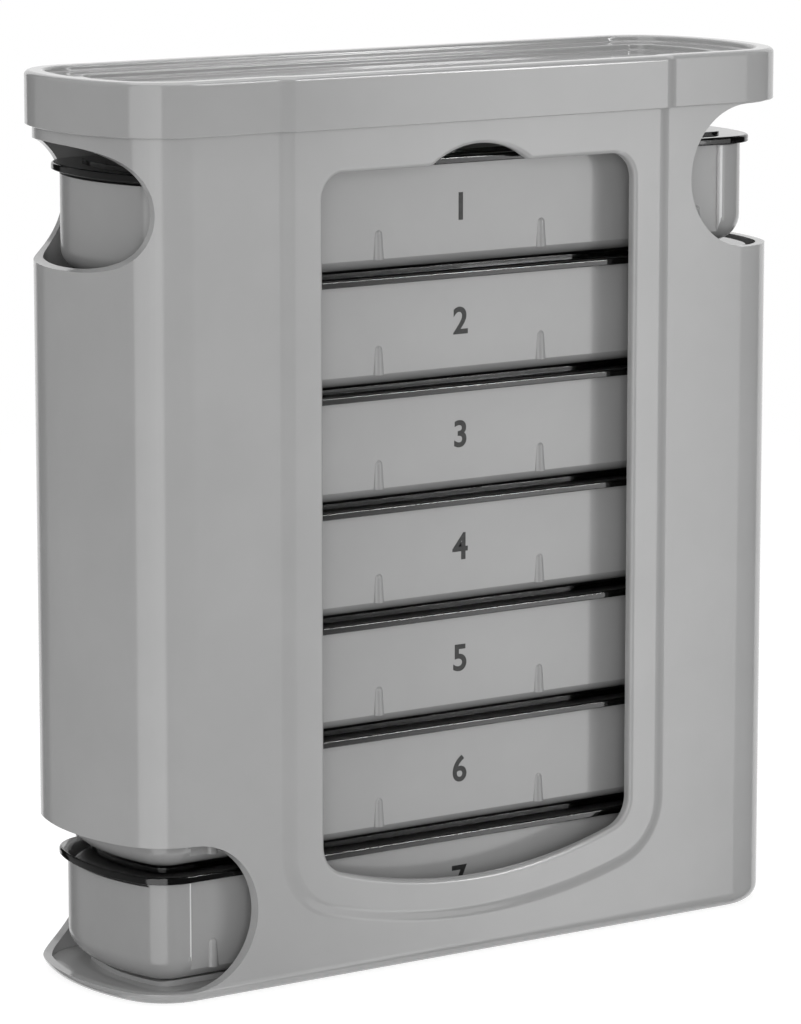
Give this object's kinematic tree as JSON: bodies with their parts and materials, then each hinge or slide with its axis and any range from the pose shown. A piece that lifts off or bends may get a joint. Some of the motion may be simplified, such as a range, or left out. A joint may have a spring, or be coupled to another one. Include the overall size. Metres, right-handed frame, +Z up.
{
  "type": "weekly pill box",
  "caption": "Tower pill box: a window housing with a lift-off cap, holding stacked day trays with sliding lids and pockets.",
  "frame": {"origin": "centre of the housing's flat underside", "axes": "+Z up; -Y to the front with the window; +X along the trays, to the end with the upper opening"},
  "size_m": [0.1222, 0.0391, 0.1339],
  "materials": {
    "housing": "smooth light grey moulding, soft gloss",
    "cap": "smooth light grey moulding, soft gloss",
    "tray": "smooth light grey moulding, soft gloss",
    "lid": "polished, clear, smoke tinted"
  },
  "bodies": {
    "housing": {"housing": "housing"},
    "cap": {"cap": "cap"},
    "tray_1": {"day_tray_1": "tray"},
    "lid_1": {"day_lid_1": "lid"},
    "tray_2": {"day_tray_2": "tray", "day_lid_2": "lid"},
    "tray_3": {"day_tray_3": "tray", "day_lid_3": "lid"},
    "tray_4": {"day_tray_4": "tray", "day_lid_4": "lid"},
    "tray_5": {"day_tray_5": "tray", "day_lid_5": "lid"},
    "tray_6": {"day_tray_6": "tray", "day_lid_6": "lid"},
    "tray_7": {"day_tray_7": "tray"},
    "lid_7": {"day_lid_7": "lid"}
  },
  "joints": [
    {"name": "tray_7_slide_out", "type": "slide", "parent": "housing", "child": "tray_7", "axis": [-1, 0, 0], "range_m": [0, 0.118]},
    {"name": "lid_7_slide", "type": "slide", "parent": "tray_7", "child": "lid_7", "axis": [-1, 0, 0], "range_m": [0, 0.112]},
    {"name": "tray_6_lift", "type": "slide", "parent": "housing", "child": "tray_6", "axis": [0, 0, 1], "range_m": [0, 0.112]},
    {"name": "tray_5_lift", "type": "slide", "parent": "tray_6", "child": "tray_5", "axis": [0, 0, 1], "range_m": [0, 0.095]},
    {"name": "tray_4_lift", "type": "slide", "parent": "tray_5", "child": "tray_4", "axis": [0, 0, 1], "range_m": [0, 0.078]},
    {"name": "tray_3_lift", "type": "slide", "parent": "tray_4", "child": "tray_3", "axis": [0, 0, 1], "range_m": [0, 0.061]},
    {"name": "tray_2_lift", "type": "slide", "parent": "tray_3", "child": "tray_2", "axis": [0, 0, 1], "range_m": [0, 0.044]},
    {"name": "tray_1_slide_out", "type": "slide", "parent": "tray_2", "child": "tray_1", "axis": [1, 0, 0], "range_m": [0, 0.118]},
    {"name": "lid_1_slide", "type": "slide", "parent": "tray_1", "child": "lid_1", "axis": [1, 0, 0], "range_m": [0, 0.112]},
    {"name": "cap_lift", "type": "slide", "parent": "tray_2", "child": "cap", "axis": [0, 0, 1], "range_m": [0, 0.13]}
  ]
}
